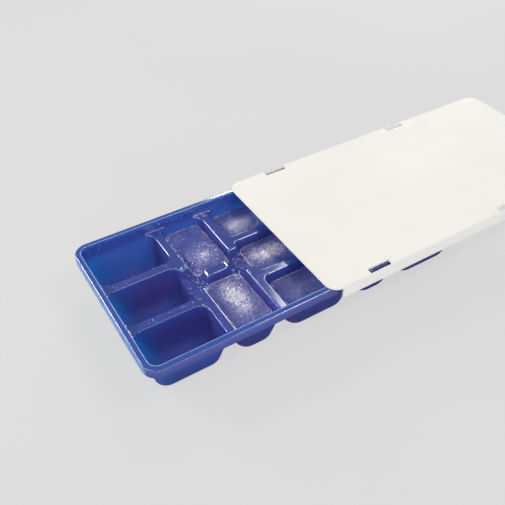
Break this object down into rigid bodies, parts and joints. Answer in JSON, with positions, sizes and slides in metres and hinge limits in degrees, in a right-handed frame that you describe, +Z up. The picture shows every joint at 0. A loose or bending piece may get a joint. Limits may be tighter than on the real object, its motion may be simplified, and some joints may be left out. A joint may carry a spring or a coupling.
{
  "type": "ice-cube freezer tray with a sliding cover",
  "caption": "Shallow translucent tray of tapered wells, part filled with ice, with a flat cover that slides along its rim.",
  "frame": {"origin": "middle of the tray, on the plane that its well bottoms stand on", "axes": "+Z up, +X along the tray, the way the cover slides open, +Y across the tray towards its back"},
  "size_m": [0.3756, 0.1284, 0.0356],
  "materials": {
    "tray_plastic": "glossy, slightly translucent cobalt blue",
    "cover_plastic": "fine satin, warm off-white",
    "ice": "clear ice with frosted cores"
  },
  "bodies": {
    "tray_body": {"tray": "tray_plastic", "ice_2_front": "ice", "ice_2_back": "ice", "ice_3_front": "ice", "ice_3_middle": "ice", "ice_3_back": "ice", "ice_4_front": "ice", "ice_4_back": "ice", "ice_5_front": "ice", "ice_5_middle": "ice", "ice_5_back": "ice"},
    "cover_body": {"cover": "cover_plastic"}
  },
  "joints": [
    {"name": "cover_slide", "type": "slide", "parent": "tray_body", "child": "cover_body", "axis": [1, 0, 0], "range_m": [-0.1256, 0.092]}
  ]
}
